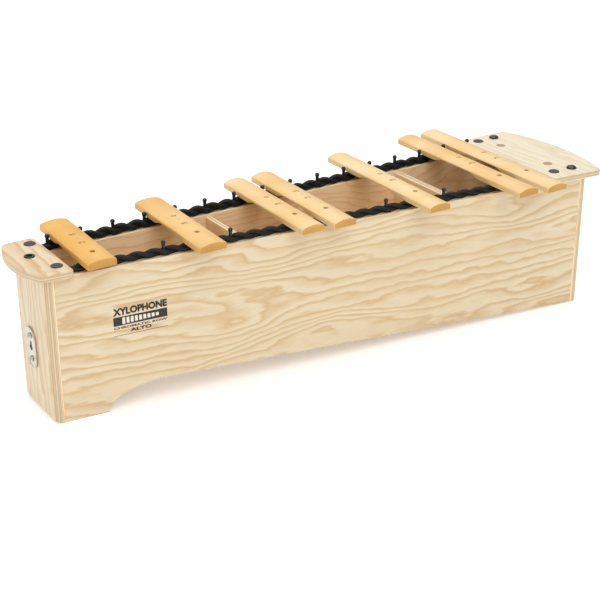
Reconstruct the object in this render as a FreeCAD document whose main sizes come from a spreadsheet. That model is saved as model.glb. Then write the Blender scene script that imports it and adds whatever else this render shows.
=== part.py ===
"""Chromatic box xylophone of the classroom kind: a tapered plywood resonator box, two twisted cords
with pegs, and seven lift-off bars for the raised notes.

Row frame: +X towards the bass end, +Y towards the back, +Z up. The origin is on the floor under the
middle of the instrument's outline. Millimetres.
"""
import FreeCAD, Part
import math
import os

import Sketcher

DIMENSIONS = [
    # the rows of bars and pegs
    ("pitch", 42.0, "distance from one bar to the next"),
    ("first_peg", -336.8, "x of the treble-most back peg"),
    ("back_rail", 73.8, "y of the back cord and its pegs"),
    ("rail_inset", 8.5, "cord centre inside a panel's outer face"),
    # the resonator box
    ("box_left", -378.0, "x of the treble end's outer face"),
    ("box_right", 365.6, "x of the bass end's outer face"),
    ("front_mid", 49.1, "front face ahead of the x axis, at the middle of the box"),
    ("front_taper", 0.1142, "how much deeper the box gets per length"),
    ("panel", 16.0, "front and back panel thickness"),
    ("end_panel", 12.0, "end panel thickness"),
    ("rail_top", 183.6, "height of the box walls"),
    ("corner", 8.0, "radius of the box's upright corners"),
    # the arched lower edge of the long panels
    ("foot_end", -312.4, "x where the treble foot stops"),
    ("arch_knee", -279.8, "x of the knee in the arch"),
    ("arch_knee_rise", 25.4, "height of the knee"),
    ("arch_crest", -235.5, "x of the highest point of the arch"),
    ("arch_rise", 29.5, "height of the arch"),
    ("arch_end_rise", 0.6, "height of the lower edge at the bass end"),
    ("knee_radius", 41.0, "radius from the foot to the knee"),
    ("crest_radius", 190.0, "radius from the knee to the crest"),
    # the floor and the dividers of the air chambers
    ("board", 6.0, "bottom board thickness"),
    ("board_left", 45.0, "height of the board's underside at the treble end"),
    ("board_right", 18.0, "height of the board's underside at the bass end"),
    ("cleat", 10.0, "side of the cleats that carry the board"),
    ("divider_top", 181.0, "height of the dividers"),
    ("treble_divider", 6.5, "treble divider thickness"),
    ("bass_divider", 10.0, "bass divider thickness"),
    ("corner_block", 14.0, "side of the glue blocks in the corners"),
    # the end caps
    ("cap", 9.5, "cap thickness"),
    ("cap_overhang", 9.0, "cap ahead of the front face"),
    ("cap_back", 96.5, "y of the caps' back edges"),
    ("left_cap_inner", -344.8, "x of the treble cap's straight edge"),
    ("left_cap_outer", -384.0, "x of the ends of the treble cap's arc"),
    ("left_cap_radius", 124.3, "radius of the treble cap's arc"),
    ("right_cap_inner", 303.2, "x of the bass cap's straight edge"),
    ("right_cap_outer", 379.0, "x of the ends of the bass cap's arc"),
    ("right_cap_radius", 270.0, "radius of the bass cap's arc"),
    ("cap_round", 5.0, "radius of the caps' corners"),
    ("cap_edge", 2.0, "rounding of the caps' edges"),
    # the cords and the pegs
    ("cord", 10.5, "overall width of a twisted cord"),
    ("cord_end_gap", 1.0, "air between a cord's end and its cap"),
    ("front_peg", 3.0, "front peg's nail, in the panel and the cord"),
    ("front_peg_tip", 3.8, "front peg's sleeve, above the cord"),
    ("front_peg_top", 200.2, "height of the front pegs"),
    ("back_peg", 3.2, "back peg stem width"),
    ("back_peg_head", 5.2, "back peg head width"),
    ("back_peg_top", 203.0, "height of the back pegs"),
    ("peg_depth", 24.0, "depth of the pegs in the panels"),
    ("cord_gap", 0.1, "slack round a peg in the cord"),
    # the bars
    ("bar_width", 31.6, "bar width"),
    ("bar_crown", 11.0, "bar thickness at the middle"),
    ("bar_side", 5.5, "bar thickness at the sides"),
    ("treble_bar_width", 35.6, "width of the two highest bars"),
    ("treble_bar_crown", 11.4, "thickness of the two highest bars at the middle"),
    ("treble_bar_side", 6.5, "thickness of the two highest bars at the sides"),
    ("bar_lift", 0.3, "air between the cords and the bars"),
    ("bar_hole", 6.5, "hole over a front peg"),
    # fittings
    ("disc", 14.0, "rubber disc width"),
    ("disc_proud", 1.0, "rubber disc above its cap"),
    ("disc_depth", 4.0, "recess under a disc"),
    ("plug", 12.5, "wood plug width"),
    ("dome", 13.5, "stacking dome width"),
    ("dome_proud", 4.0, "stacking dome above its cap"),
    ("ring", 12.8, "screw ring width"),
    ("ring_hole", 7.0, "opening of the screw ring"),
    ("ring_proud", 1.2, "screw ring above its cap"),
    ("plate_width", 28.0, "hanging plate width"),
    ("plate_height", 52.0, "hanging plate height"),
    ("plate_thick", 2.5, "hanging plate thickness"),
    ("plate_y", 44.5, "y of the hanging plate's middle"),
    ("plate_z", 80.5, "height of the hanging plate's middle"),
    ("plate_screw", 15.0, "plate screws above and below the plate's middle"),
    ("keyhole", 8.0, "round of the keyhole"),
    ("keyhole_slot", 4.4, "width of the keyhole's slot"),
    ("recess", 10.0, "depth of the recess behind the keyhole"),
]

# note name: kind of section, bay counted from the treble end, length, reach ahead of the front cord,
# depth of the tuning cut
BARS = {
    "c_sharp_3": ("treble_bar", 0, 132.0, 25.0, 2.5),
    "g_sharp_2": ("treble_bar", 3, 162.0, 38.0, 4.0),
    "d_sharp_2": ("bar", 6, 183.0, 41.0, 3.8),
    "c_sharp_2": ("bar", 7, 190.0, 42.0, 4.2),
    "g_sharp_1": ("bar", 10, 222.0, 50.5, 4.8),
    "d_sharp_1": ("bar", 13, 253.0, 57.0, 5.0),
    "c_sharp_1": ("bar", 14, 262.0, 59.2, 5.0),
}
BACK_PEG_COUNT = 16
FRONT_PEG_BAYS = (0, 2, 3, 4, 6, 7, 9, 10, 11, 13, 14)
TREBLE_DIVIDER_BAY = 5
BASS_DIVIDER_BAY = 12

LEFT_DISCS = ((-356.5, 79.0), (-357.0, 2.5))
RIGHT_DISCS = ((318.8, 79.0), (319.4, -74.0))
RIGHT_PLUGS = ((333.1, 47.9), (334.7, -45.5))
RIGHT_DOMES = ((347.4, 79.0), (348.4, -76.5))
LEFT_RING = (-371.5, 44.5)

doc = FreeCAD.newDocument("BoxXylophone")
sheet = doc.addObject("Spreadsheet::Sheet", "Dim")
for row, (alias, size, note) in enumerate(DIMENSIONS, start=1):
    sheet.set(f"A{row}", note)
    sheet.set(f"B{row}", str(size))
    sheet.setAlias(f"B{row}", alias)
doc.recompute()


# ---------------------------------------------------------------- expressions and sketches

def dim(alias):
    """The expression that reads one driving dimension."""
    return f"Dim.{alias}"


def number(expression):
    """What an expression is worth now."""
    return float(sheet.evalExpression(str(expression)))


def peg_x(place):
    """x of a place along the pegs: 0 is the first back peg, 0.5 the middle of the first bay."""
    return f"({dim('first_peg')} + {place} * {dim('pitch')})"


def front_y(x, inset="0"):
    """y of the tapering front face at x, moved back by an inset measured along y."""
    return f"(0 - {dim('front_mid')} - {dim('front_taper')} * ({x}) + {inset})"


PANEL_ALONG_Y = f"{dim('panel')} * sqrt(1 + {dim('front_taper')} ^ 2)"
INNER_BACK = f"({dim('back_rail')} + {dim('rail_inset')} - {dim('panel')})"
OUTER_BACK = f"({dim('back_rail')} + {dim('rail_inset')})"
BETWEEN_ENDS = (f"({dim('box_left')} + {dim('end_panel')})", f"({dim('box_right')} - {dim('end_panel')})")
CORD_AXIS = f"({dim('rail_top')} + {dim('cord')} / 2)"
BAR_BOTTOM = f"({dim('rail_top')} + {dim('cord')} + {dim('bar_lift')})"
CAP_TOP = f"({dim('rail_top')} + {dim('cap')})"


def new_body(label):
    body = doc.addObject("PartDesign::Body", label)
    body.Label = label
    return body


def origin_plane(body, role):
    return next(feature for feature in body.Origin.OriginFeatures if feature.Role == role)


def new_sketch(body, name, plane="XY_Plane", offset="0"):
    """A sketch on one of the body's own planes, moved along the plane's normal by an expression."""
    sketch = body.newObject("Sketcher::SketchObject", f"{body.Name}_{name}")
    sketch.AttachmentSupport = [(origin_plane(body, plane), "")]
    sketch.MapMode = "FlatFace"
    sketch.setExpression("AttachmentOffset.Base.z", offset)
    return sketch


def place_point(sketch, geometry, end, point):
    """Hold one point of a sketch at two expressions."""
    for kind, expression in (("DistanceX", point[0]), ("DistanceY", point[1])):
        index = sketch.addConstraint(
            Sketcher.Constraint(kind, -1, 1, geometry, end, number(expression)))
        sketch.setExpression(f"Constraints[{index}]", str(expression))


def vector(point):
    return FreeCAD.Vector(number(point[0]), number(point[1]), 0)


def outline(sketch, points, arcs=None):
    """A closed outline. arcs gives, for the side that starts at a corner, its radius and its bulge side:
    +1 bulges to the right of the direction of travel, -1 to the left."""
    arcs = arcs or {}
    corners = [vector(point) for point in points]
    sides = []
    for place, start in enumerate(corners):
        end = corners[(place + 1) % len(corners)]
        if place not in arcs:
            sides.append((sketch.addGeometry(Part.LineSegment(start, end)), 1, 2))
            continue
        radius, bulge = number(arcs[place][0]), arcs[place][1]
        chord = end - start
        right = FreeCAD.Vector(chord.y, -chord.x, 0).normalize()
        sagitta = radius - math.sqrt(radius ** 2 - (chord.Length / 2) ** 2)
        middle = (start + end) * 0.5 + right * (sagitta * bulge)
        # a sketch's arcs run anticlockwise, which is with the bulge to the right
        ends = (start, end) if bulge > 0 else (end, start)
        side = sketch.addGeometry(Part.Arc(ends[0], middle, ends[1]))
        sides.append((side, 1, 2) if bulge > 0 else (side, 2, 1))
        index = sketch.addConstraint(Sketcher.Constraint("Radius", side, radius))
        sketch.setExpression(f"Constraints[{index}]", str(arcs[place][0]))
    for place, (side, start, _) in enumerate(sides):
        before, _, last = sides[place - 1]
        sketch.addConstraint(Sketcher.Constraint("Coincident", before, last, side, start))
        place_point(sketch, side, start, points[place])


def circle(sketch, centre, width):
    """A circle whose centre and width are expressions."""
    ring = Part.Circle(vector(centre), FreeCAD.Vector(0, 0, 1), number(width) / 2)
    geometry = sketch.addGeometry(ring)
    index = sketch.addConstraint(Sketcher.Constraint("Diameter", geometry, number(width)))
    sketch.setExpression(f"Constraints[{index}]", str(width))
    place_point(sketch, geometry, 3, centre)


# ---------------------------------------------------------------- features

def pad(body, sketch, length, down=False):
    feature = body.newObject("PartDesign::Pad", f"{sketch.Name}_Pad")
    feature.Profile = sketch
    feature.setExpression("Length", length)
    feature.Reversed = down
    sketch.Visibility = False
    doc.recompute()
    return feature


def cut(body, sketch, depth, reverse=False, both_ways=False):
    """A pocket that has to take something away."""
    before = body.Shape.Volume
    feature = body.newObject("PartDesign::Pocket", f"{sketch.Name}_Pocket")
    feature.Profile = sketch
    feature.setExpression("Length", depth)
    feature.Reversed = reverse
    feature.Midplane = both_ways
    doc.recompute()
    if body.Shape.Volume > before - 1e-3:
        raise RuntimeError(f"{feature.Name} cuts nothing")
    return feature


def round_edges(body, base, radius, chosen):
    """A fillet on the edges that a test chooses."""
    names = [f"Edge{place}" for place, edge in enumerate(base.Shape.Edges, start=1) if chosen(edge)]
    feature = body.newObject("PartDesign::Fillet", f"{body.Name}_Fillet{len(body.Group)}")
    feature.Base = (base, names)
    feature.setExpression("Radius", radius)
    doc.recompute()
    return feature


def is_upright(edge):
    ends = [vertex.Point for vertex in edge.Vertexes]
    return len(ends) == 2 and math.hypot(ends[0].x - ends[1].x, ends[0].y - ends[1].y) < 1e-4


def lies_at(edge, height):
    box = edge.BoundBox
    return abs(box.ZMin - height) < 1e-4 and abs(box.ZMax - height) < 1e-4


# ---------------------------------------------------------------- the box

def long_panel(label, corners, pegs, peg_width):
    """A front or back panel, between the end panels: its plan, its arched lower edge, its peg holes."""
    body = new_body(label)
    plan = new_sketch(body, "Plan")
    outline(plan, corners)
    pad(body, plan, dim("rail_top"))

    arch = new_sketch(body, "Arch", "XZ_Plane")
    outline(arch, [
        (dim("foot_end"), "0"),
        (dim("arch_knee"), dim("arch_knee_rise")),
        (dim("arch_crest"), dim("arch_rise")),
        (f"{dim('box_right')} + 1", dim("arch_end_rise")),
        (f"{dim('box_right')} + 1", "-5"),
        (dim("foot_end"), "-5"),
    ], {0: (dim("knee_radius"), -1), 1: (dim("crest_radius"), -1)})
    cut(body, arch, "400", both_ways=True)

    holes = new_sketch(body, "PegHoles", offset=dim("rail_top"))
    for centre in pegs:
        circle(holes, centre, peg_width)
    cut(body, holes, dim("peg_depth"))
    return body


def back_peg_places():
    return [(peg_x(place), dim("back_rail")) for place in range(BACK_PEG_COUNT)]


def front_peg_places():
    return [(peg_x(bay + 0.5), front_y(peg_x(bay + 0.5), dim("rail_inset"))) for bay in FRONT_PEG_BAYS]


def front_panel():
    left, right = BETWEEN_ENDS
    corners = [
        (left, front_y(left)),
        (right, front_y(right)),
        (right, front_y(right, PANEL_ALONG_Y)),
        (left, front_y(left, PANEL_ALONG_Y)),
    ]
    return long_panel("front_panel", corners, front_peg_places(), dim("front_peg"))


def back_panel():
    left, right = BETWEEN_ENDS
    corners = [(left, INNER_BACK), (right, INNER_BACK), (right, OUTER_BACK), (left, OUTER_BACK)]
    return long_panel("back_panel", corners, back_peg_places(), dim("back_peg"))


def between_panels(label, low_x, high_x, bottom, top):
    """An upright board across the box, cut to the taper of the front panel."""
    body = new_body(label)
    plan = new_sketch(body, "Plan", offset=bottom)
    outline(plan, [
        (low_x, front_y(low_x, PANEL_ALONG_Y)),
        (high_x, front_y(high_x, PANEL_ALONG_Y)),
        (high_x, INNER_BACK),
        (low_x, INNER_BACK),
    ])
    pad(body, plan, f"{top} - {bottom}")
    return body


def board_top(x):
    """Height of the sloping bottom board's top face at x."""
    fall = f"({dim('board_left')} - {dim('board_right')}) / ({dim('box_right')} - {dim('box_left')})"
    return f"({dim('board_left')} + {dim('board')} - ({x} - {dim('box_left')}) * {fall})"


def end_panel(label, outer, inner):
    """An end of the box: it laps the ends of both long panels, and its two upright corners are rounded."""
    body = new_body(label)
    plan = new_sketch(body, "Plan")
    low, high = sorted((outer, inner), key=number)
    outline(plan, [(low, front_y(low)), (high, front_y(high)), (high, OUTER_BACK), (low, OUTER_BACK)])
    board = pad(body, plan, dim("rail_top"))
    face = number(outer)
    round_edges(body, board, dim("corner"),
                lambda edge: is_upright(edge) and abs(edge.BoundBox.Center.x - face) < 1e-3)
    return body


def left_end_panel():
    low = dim("box_left")
    body = end_panel("left_end_panel", low, BETWEEN_ENDS[0])
    # the recess that lets a hook's head pass behind the hanging plate, and the plate's screw holes
    recess = new_sketch(body, "Recess", "YZ_Plane", low)
    circle(recess, (dim("plate_y"), dim("plate_z")), f"{dim('keyhole')} + 2")
    cut(body, recess, dim("recess"), reverse=True)
    holes = new_sketch(body, "ScrewHoles", "YZ_Plane", low)
    for side in (-1, 1):
        circle(holes, (dim("plate_y"), f"{dim('plate_z')} + {side} * {dim('plate_screw')}"), "3")
    cut(body, holes, "9", reverse=True)
    # the hole for the screw that holds the cap
    cap_hole = new_sketch(body, "CapScrewHole", offset=dim("rail_top"))
    circle(cap_hole, LEFT_RING, "3.5")
    cut(body, cap_hole, "22")
    return body


def right_end_panel():
    return end_panel("right_end_panel", dim("box_right"), BETWEEN_ENDS[1])


def divider(label, bay, thickness):
    low = f"({peg_x(bay)} - {thickness} / 2)"
    high = f"({peg_x(bay)} + {thickness} / 2)"
    return between_panels(label, low, high, board_top(low), dim("divider_top"))


def sloping_strip(label, top, drop, plan_points):
    """A strip that runs the length of the box with the bottom board's slope, trimmed to a plan."""
    left = f"({dim('box_left')} + {dim('end_panel')})"
    right = f"({dim('box_right')} - {dim('end_panel')})"
    body = new_body(label)
    side = new_sketch(body, "Side", "XZ_Plane", f"0 - {INNER_BACK}")
    outline(side, [
        (left, f"{top(left)} - {drop}"),
        (right, f"{top(right)} - {drop}"),
        (right, top(right)),
        (left, top(left)),
    ])
    pad(body, side, "180")
    trim = new_sketch(body, "Trim")
    outline(trim, plan_points(left, right))
    cut(body, trim, "150", reverse=True)
    return body


def bottom_board():
    def ahead_of_front(left, right):
        return [
            (f"{left} - 5", "-150"),
            (f"{right} + 5", "-150"),
            (f"{right} + 5", front_y(f"({right} + 5)", PANEL_ALONG_Y)),
            (f"{left} - 5", front_y(f"({left} - 5)", PANEL_ALONG_Y)),
        ]

    return sloping_strip("bottom_board", board_top, dim("board"), ahead_of_front)


def cleat_top(x):
    return f"({board_top(x)} - {dim('board')})"


def back_cleat():
    def ahead_of_cleat(left, right):
        edge = f"{INNER_BACK} - {dim('cleat')}"
        return [(f"{left} - 5", "-150"), (f"{right} + 5", "-150"), (f"{right} + 5", edge), (f"{left} - 5", edge)]

    return sloping_strip("back_cleat", cleat_top, dim("cleat"), ahead_of_cleat)


def front_cleat():
    def ahead_of_front(left, right):
        return [
            (f"{left} - 5", "-150"),
            (f"{right} + 5", "-150"),
            (f"{right} + 5", front_y(f"({right} + 5)", PANEL_ALONG_Y)),
            (f"{left} - 5", front_y(f"({left} - 5)", PANEL_ALONG_Y)),
        ]

    body = sloping_strip("front_cleat", cleat_top, dim("cleat"), ahead_of_front)
    behind = new_sketch(body, "Behind")
    reach = f"{PANEL_ALONG_Y} + {dim('cleat')}"
    left, right = f"({dim('box_left')} - 5)", f"({dim('box_right')} + 5)"
    outline(behind, [(left, front_y(left, reach)), (right, front_y(right, reach)), (right, "150"), (left, "150")])
    cut(body, behind, "150", reverse=True)
    return body


def corner_blocks():
    """Four glue blocks: each fills a corner between an end panel and a long panel."""
    body = new_body("corner_blocks")
    body.AllowCompound = True
    size = dim("corner_block")
    bottom = f"({dim('board_left')} + {dim('board')} + 1)"
    plan = new_sketch(body, "Plan", offset=bottom)
    left, right = f"({dim('box_left')} + {dim('end_panel')})", f"({dim('box_right')} - {dim('end_panel')})"
    for low, high in ((left, f"({left} + {size})"), (f"({right} - {size})", right)):
        outline(plan, [
            (low, front_y(low, PANEL_ALONG_Y)),
            (high, front_y(high, PANEL_ALONG_Y)),
            (high, front_y(high, f"{PANEL_ALONG_Y} + {size}")),
            (low, front_y(low, f"{PANEL_ALONG_Y} + {size}")),
        ])
        outline(plan, [
            (low, f"{INNER_BACK} - {size}"),
            (high, f"{INNER_BACK} - {size}"),
            (high, INNER_BACK),
            (low, INNER_BACK),
        ])
    pad(body, plan, f"{dim('rail_top')} - {bottom}")
    return body


# ---------------------------------------------------------------- the caps and what is set in them

def end_cap(label, inner, outer, radius, bulge, recesses):
    """A cap board: straight towards the bars, an arc towards the end, flush fittings let into its top."""
    body = new_body(label)
    plan = new_sketch(body, "Plan", offset=dim("rail_top"))
    front_inner = (inner, front_y(inner, f"0 - {dim('cap_overhang')}"))
    front_outer = (outer, front_y(outer, f"0 - {dim('cap_overhang')}"))
    corners = [front_inner, front_outer, (outer, dim("cap_back")), (inner, dim("cap_back"))]
    outline(plan, corners, {1: (radius, bulge)})
    board = pad(body, plan, dim("cap"))
    rounded = round_edges(body, board, dim("cap_round"), is_upright)
    top, bottom = number(CAP_TOP), number(dim("rail_top"))
    rounded = round_edges(body, rounded, dim("cap_edge"),
                          lambda edge: lies_at(edge, top) or lies_at(edge, bottom))
    for name, (centres, width, depth) in recesses.items():
        recess = new_sketch(body, name, offset=CAP_TOP)
        for centre in centres:
            circle(recess, centre, width)
        cut(body, recess, depth)
    return body


def left_cap():
    recesses = {
        "Discs": (LEFT_DISCS, dim("disc"), dim("disc_depth")),
        "Ring": ((LEFT_RING,), dim("ring"), dim("disc_depth")),
        "Screw": ((LEFT_RING,), "4", f"{dim('cap')} + 1"),
    }
    return end_cap("left_cap", dim("left_cap_inner"), dim("left_cap_outer"), dim("left_cap_radius"),
                   -1, recesses)


def right_cap():
    recesses = {
        "Discs": (RIGHT_DISCS, dim("disc"), dim("disc_depth")),
        "Plugs": (RIGHT_PLUGS, dim("plug"), dim("disc_depth")),
        "Domes": (RIGHT_DOMES, dim("dome"), dim("disc_depth")),
    }
    return end_cap("right_cap", dim("right_cap_inner"), dim("right_cap_outer"), dim("right_cap_radius"),
                   1, recesses)


def cap_inserts(label, centres, width, proud, edge):
    """Round pieces let into a cap, all alike."""
    body = new_body(label)
    body.AllowCompound = True
    seat = new_sketch(body, "Seats", offset=f"{CAP_TOP} - {dim('disc_depth')}")
    for centre in centres:
        circle(seat, centre, width)
    solid = pad(body, seat, f"{dim('disc_depth')} + {proud}")
    top = number(f"{CAP_TOP} + {proud}")
    round_edges(body, solid, edge, lambda candidate: lies_at(candidate, top))
    return body


def cap_ring():
    body = new_body("cap_ring")
    seat = new_sketch(body, "Seat", offset=f"{CAP_TOP} - {dim('disc_depth')}")
    circle(seat, LEFT_RING, dim("ring"))
    circle(seat, LEFT_RING, dim("ring_hole"))
    solid = pad(body, seat, f"{dim('disc_depth')} + {dim('ring_proud')}")
    top = number(f"{CAP_TOP} + {dim('ring_proud')}")
    round_edges(body, solid, "0.5", lambda edge: lies_at(edge, top))
    return body


def cap_screw():
    """The screw in the ring: a low round head on a plain shank."""
    body = new_body("cap_screw")
    head = new_sketch(body, "Head", offset=f"{CAP_TOP} - {dim('disc_depth')}")
    circle(head, LEFT_RING, f"{dim('ring_hole')} - 0.2")
    solid = pad(body, head, "2.6")
    top = number(f"{CAP_TOP} - {dim('disc_depth')} + 2.6")
    round_edges(body, solid, "1.2", lambda edge: lies_at(edge, top))
    shank = new_sketch(body, "Shank", offset=f"{CAP_TOP} - {dim('disc_depth')}")
    circle(shank, LEFT_RING, "3.5")
    pad(body, shank, "24", down=True)
    return body


# ---------------------------------------------------------------- cords and pegs

def cord(label, start, end, holes, hole_width):
    """One cord: a round stretch along a rail, from cap to cap, with an eye where each peg goes through."""
    body = new_body(label)
    run = number(end[0]) - number(start[0])
    rise = number(end[1]) - number(start[1])
    section = new_sketch(body, "Section", "YZ_Plane")
    circle(section, ("0", "0"), dim("cord"))
    pad(body, section, f"{math.hypot(run, rise)}")
    angle = math.degrees(math.atan2(rise, run))
    turn = FreeCAD.Rotation(FreeCAD.Vector(0, 0, 1), angle)
    body.Placement = FreeCAD.Placement(FreeCAD.Vector(number(start[0]), number(start[1]), number(CORD_AXIS)), turn)
    eyes = new_sketch(body, "Eyes", offset="10")
    back = body.Placement.inverse()
    for hole in holes:
        local = back.multVec(FreeCAD.Vector(number(hole[0]), number(hole[1]), number(CORD_AXIS)))
        circle(eyes, (f"{local.x}", f"{local.y}"), hole_width)
    cut(body, eyes, "20")
    return body


def cord_ends(y_at):
    left = f"({dim('left_cap_inner')} + {dim('cord_end_gap')})"
    right = f"({dim('right_cap_inner')} - {dim('cord_end_gap')})"
    return (left, y_at(left)), (right, y_at(right))


def back_cord():
    start, end = cord_ends(lambda x: dim("back_rail"))
    return cord("back_cord", start, end, back_peg_places(), f"{dim('back_peg')} + 2 * {dim('cord_gap')}")


def front_cord():
    start, end = cord_ends(lambda x: front_y(x, dim("rail_inset")))
    return cord("front_cord", start, end, front_peg_places(), f"{dim('front_peg')} + 2 * {dim('cord_gap')}")


def back_pegs():
    """Nails with ball heads, one on every bay line."""
    body = new_body("back_pegs")
    body.AllowCompound = True
    stems = new_sketch(body, "Stems", offset=f"{dim('rail_top')} - {dim('peg_depth')}")
    heads = new_sketch(body, "Heads", offset=f"{dim('back_peg_top')} - {dim('back_peg_head')}")
    for centre in back_peg_places():
        circle(stems, centre, dim("back_peg"))
        circle(heads, centre, dim("back_peg_head"))
    pad(body, stems, f"{dim('back_peg_top')} - 1 - {dim('rail_top')} + {dim('peg_depth')}")
    solid = pad(body, heads, dim("back_peg_head"))
    head_width = number(dim("back_peg_head"))

    def is_head_rim(edge, height):
        return lies_at(edge, height) and edge.BoundBox.XLength > head_width * 0.95

    top = number(dim("back_peg_top"))
    solid = round_edges(body, solid, f"{dim('back_peg_head')} * 0.4", lambda edge: is_head_rim(edge, top))
    under = f"({dim('back_peg_head')} - {dim('back_peg')}) * 0.45"
    round_edges(body, solid, under, lambda edge: is_head_rim(edge, top - head_width))
    return body


def front_pegs():
    """Nails with round-topped sleeves above the cord, one in the middle of every bay that takes a bar."""
    body = new_body("front_pegs")
    body.AllowCompound = True
    bottom = f"({dim('rail_top')} - {dim('peg_depth')})"
    rods = new_sketch(body, "Rods", offset=bottom)
    tips = new_sketch(body, "Tips", offset=BAR_BOTTOM)
    for centre in front_peg_places():
        circle(rods, centre, dim("front_peg"))
        circle(tips, centre, dim("front_peg_tip"))
    pad(body, rods, f"{BAR_BOTTOM} - {bottom}")
    solid = pad(body, tips, f"{dim('front_peg_top')} - {BAR_BOTTOM}")
    top = number(dim("front_peg_top"))
    round_edges(body, solid, f"{dim('front_peg_tip')} * 0.42", lambda edge: lies_at(edge, top))
    return body


# ---------------------------------------------------------------- the hanging plate

def hanger_plate():
    """A pressed plate with rounded ends, a keyhole and two screw holes."""
    body = new_body("hanger_plate")
    plan = new_sketch(body, "Plan", "YZ_Plane", dim("box_left"))
    half = f"{dim('plate_width')} / 2"
    low = f"{dim('plate_z')} - {dim('plate_height')} / 2 + {half}"
    high = f"{dim('plate_z')} + {dim('plate_height')} / 2 - {half}"
    near, far = f"{dim('plate_y')} - {half}", f"{dim('plate_y')} + {half}"
    oval = f"{dim('plate_width')} / 2 + 0.001"
    outline(plan, [(near, low), (far, low), (far, high), (near, high)], {0: (oval, 1), 2: (oval, 1)})
    pad(body, plan, dim("plate_thick"), down=True)
    face = f"{dim('box_left')} - {dim('plate_thick')}"
    holes = new_sketch(body, "Holes", "YZ_Plane", face)
    circle(holes, (dim("plate_y"), dim("plate_z")), dim("keyhole"))
    for side in (-1, 1):
        circle(holes, (dim("plate_y"), f"{dim('plate_z')} + {side} * {dim('plate_screw')}"), "3")
    cut(body, holes, f"{dim('plate_thick')} + 1", reverse=True)
    slot = new_sketch(body, "Slot", "YZ_Plane", face)
    side = f"{dim('keyhole_slot')} / 2"
    outline(slot, [
        (f"{dim('plate_y')} - {side}", dim("plate_z")),
        (f"{dim('plate_y')} + {side}", dim("plate_z")),
        (f"{dim('plate_y')} + {side}", f"{dim('plate_z')} + 8"),
        (f"{dim('plate_y')} - {side}", f"{dim('plate_z')} + 8"),
    ])
    cut(body, slot, f"{dim('plate_thick')} + 1", reverse=True)
    return body


def plate_screws():
    body = new_body("plate_screws")
    body.AllowCompound = True
    face = f"{dim('box_left')} - {dim('plate_thick')}"
    heads = new_sketch(body, "Heads", "YZ_Plane", face)
    shanks = new_sketch(body, "Shanks", "YZ_Plane", face)
    for side in (-1, 1):
        centre = (dim("plate_y"), f"{dim('plate_z')} + {side} * {dim('plate_screw')}")
        circle(heads, centre, "7.4")
        circle(shanks, centre, "3")
    solid = pad(body, heads, "1.8", down=True)
    outer = number(face) - 1.8
    round_edges(body, solid, "1.2", lambda edge: edge.BoundBox.XMax < outer + 1e-4)
    pad(body, shanks, f"{dim('plate_thick')} + 8.5")
    return body


# ---------------------------------------------------------------- the bars

def bar(note, kind, bay, length, reach, tuning_cut):
    """A bar: flat below, crowned above, thinned in the middle for its note, with one hole for its peg.

    Its own origin is on its underside, over the front cord.
    """
    body = new_body(f"bar_{note}")
    width, crown, side = dim(f"{kind}_width"), dim(f"{kind}_crown"), dim(f"{kind}_side")
    half = f"{width} / 2"
    section = new_sketch(body, "Section", "XZ_Plane", f"{reach}")
    rise = f"({crown} - {side})"
    crown_radius = f"(({half}) ^ 2 + {rise} ^ 2) / (2 * {rise})"
    outline(section, [
        (f"0 - {half}", "0"),
        (half, "0"),
        (half, side),
        (f"0 - {half}", side),
    ], {2: (crown_radius, 1)})
    pad(body, section, f"{length}", down=True)

    middle = length / 2 - reach
    low_half, high_half = 0.184 * length, 0.10 * length
    undercut = new_sketch(body, "TuningCut", "YZ_Plane")
    outline(undercut, [
        (f"{middle - low_half}", "-1"),
        (f"{middle + low_half}", "-1"),
        (f"{middle + low_half}", "0"),
        (f"{middle + high_half}", f"{tuning_cut}"),
        (f"{middle - high_half}", f"{tuning_cut}"),
        (f"{middle - low_half}", "0"),
    ])
    cut(body, undercut, f"{width} * 2", both_ways=True)

    hole = new_sketch(body, "PegHole", offset="-5")
    circle(hole, ("0", "0"), dim("bar_hole"))
    cut(body, hole, "30", reverse=True)

    x = peg_x(bay + 0.5)
    body.setExpression("Placement.Base.x", x)
    body.setExpression("Placement.Base.y", front_y(x, dim("rail_inset")))
    body.setExpression("Placement.Base.z", BAR_BOTTOM)
    return body


def make_all():
    parts = [
        front_panel(), back_panel(), left_end_panel(), right_end_panel(),
        bottom_board(), front_cleat(), back_cleat(), corner_blocks(),
        divider("treble_divider", TREBLE_DIVIDER_BAY, dim("treble_divider")),
        divider("bass_divider", BASS_DIVIDER_BAY, dim("bass_divider")),
        left_cap(), right_cap(),
        cap_inserts("cap_discs", LEFT_DISCS + RIGHT_DISCS, dim("disc"), dim("disc_proud"), "0.6"),
        cap_inserts("cap_plugs", RIGHT_PLUGS, dim("plug"), "0.2", "0.15"),
        cap_inserts("stacking_domes", RIGHT_DOMES, dim("dome"), dim("dome_proud"), "3.4"),
        cap_ring(), cap_screw(),
        back_cord(), front_cord(), back_pegs(), front_pegs(),
        hanger_plate(), plate_screws(),
    ]
    parts += [bar(note, *facts) for note, facts in BARS.items()]
    return parts


def check(parts):
    """Stop if a feature failed or a sub-part isn't a sound solid."""
    doc.recompute()
    for item in doc.Objects:
        if "Invalid" in item.State or "Error" in item.State:
            raise RuntimeError(f"{item.Name} failed: {item.State}")
    for part in parts:
        if part.Shape.isNull() or not part.Shape.isValid() or not part.Shape.Solids:
            raise RuntimeError(f"{part.Label} has no sound shape")


def write(parts):
    os.makedirs("parts", exist_ok=True)
    for part in parts:
        part.Shape.exportStep(f"parts/{part.Label}.step")
        print(f"{part.Label}: {len(part.Shape.Solids)} solid(s), {part.Shape.Volume / 1000:.1f} cm3")


pieces = make_all()
check(pieces)
write(pieces)
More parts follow.
